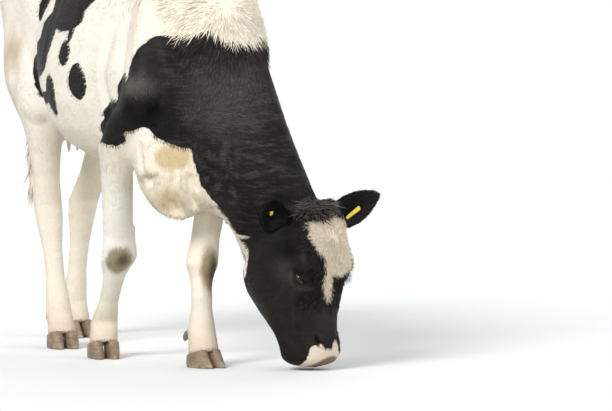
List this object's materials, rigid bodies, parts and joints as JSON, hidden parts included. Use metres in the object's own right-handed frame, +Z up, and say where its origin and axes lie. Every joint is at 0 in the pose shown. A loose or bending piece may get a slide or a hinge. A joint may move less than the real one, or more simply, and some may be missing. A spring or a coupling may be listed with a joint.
{
  "type": "cow",
  "caption": "Life-size still model of a black and white dairy heifer grazing, one forefoot and the opposite hind foot a step ahead, face turned to its left.",
  "frame": {"origin": "on the floor under the middle of the whole animal", "axes": "+X forward along the back, +Y to the animal's left, +Z up"},
  "size_m": [1.9766, 0.8782, 1.415],
  "materials": {
    "coat_white": "short cream-white hair",
    "coat_black": "short black hair with a soft sheen",
    "hoof_horn": "ringed horn, slightly worn",
    "eye": "wet, glossy",
    "tag": "plain moulded plastic"
  },
  "bodies": {
    "root": {"trunk": "coat_white", "neck": "coat_black", "head": "coat_black", "ear_left": "coat_black", "ear_right": "coat_black", "eye_left": "eye", "eye_right": "eye", "ear_tag_left": "tag", "ear_tag_right": "tag", "foreleg_left": "coat_white", "foreleg_right": "coat_white", "hindleg_left": "coat_white", "hindleg_right": "coat_white", "tail": "coat_white", "claw_left_foreleg_left": "hoof_horn", "claw_left_foreleg_right": "hoof_horn", "claw_left_hindleg_left": "hoof_horn", "claw_left_hindleg_right": "hoof_horn", "claw_right_foreleg_left": "hoof_horn", "claw_right_foreleg_right": "hoof_horn", "claw_right_hindleg_left": "hoof_horn", "claw_right_hindleg_right": "hoof_horn", "dewclaw_left_foreleg_left": "hoof_horn", "dewclaw_left_foreleg_right": "hoof_horn", "dewclaw_left_hindleg_left": "hoof_horn", "dewclaw_left_hindleg_right": "hoof_horn", "dewclaw_right_foreleg_left": "hoof_horn", "dewclaw_right_foreleg_right": "hoof_horn", "dewclaw_right_hindleg_left": "hoof_horn", "dewclaw_right_hindleg_right": "hoof_horn"}
  },
  "joints": []
}
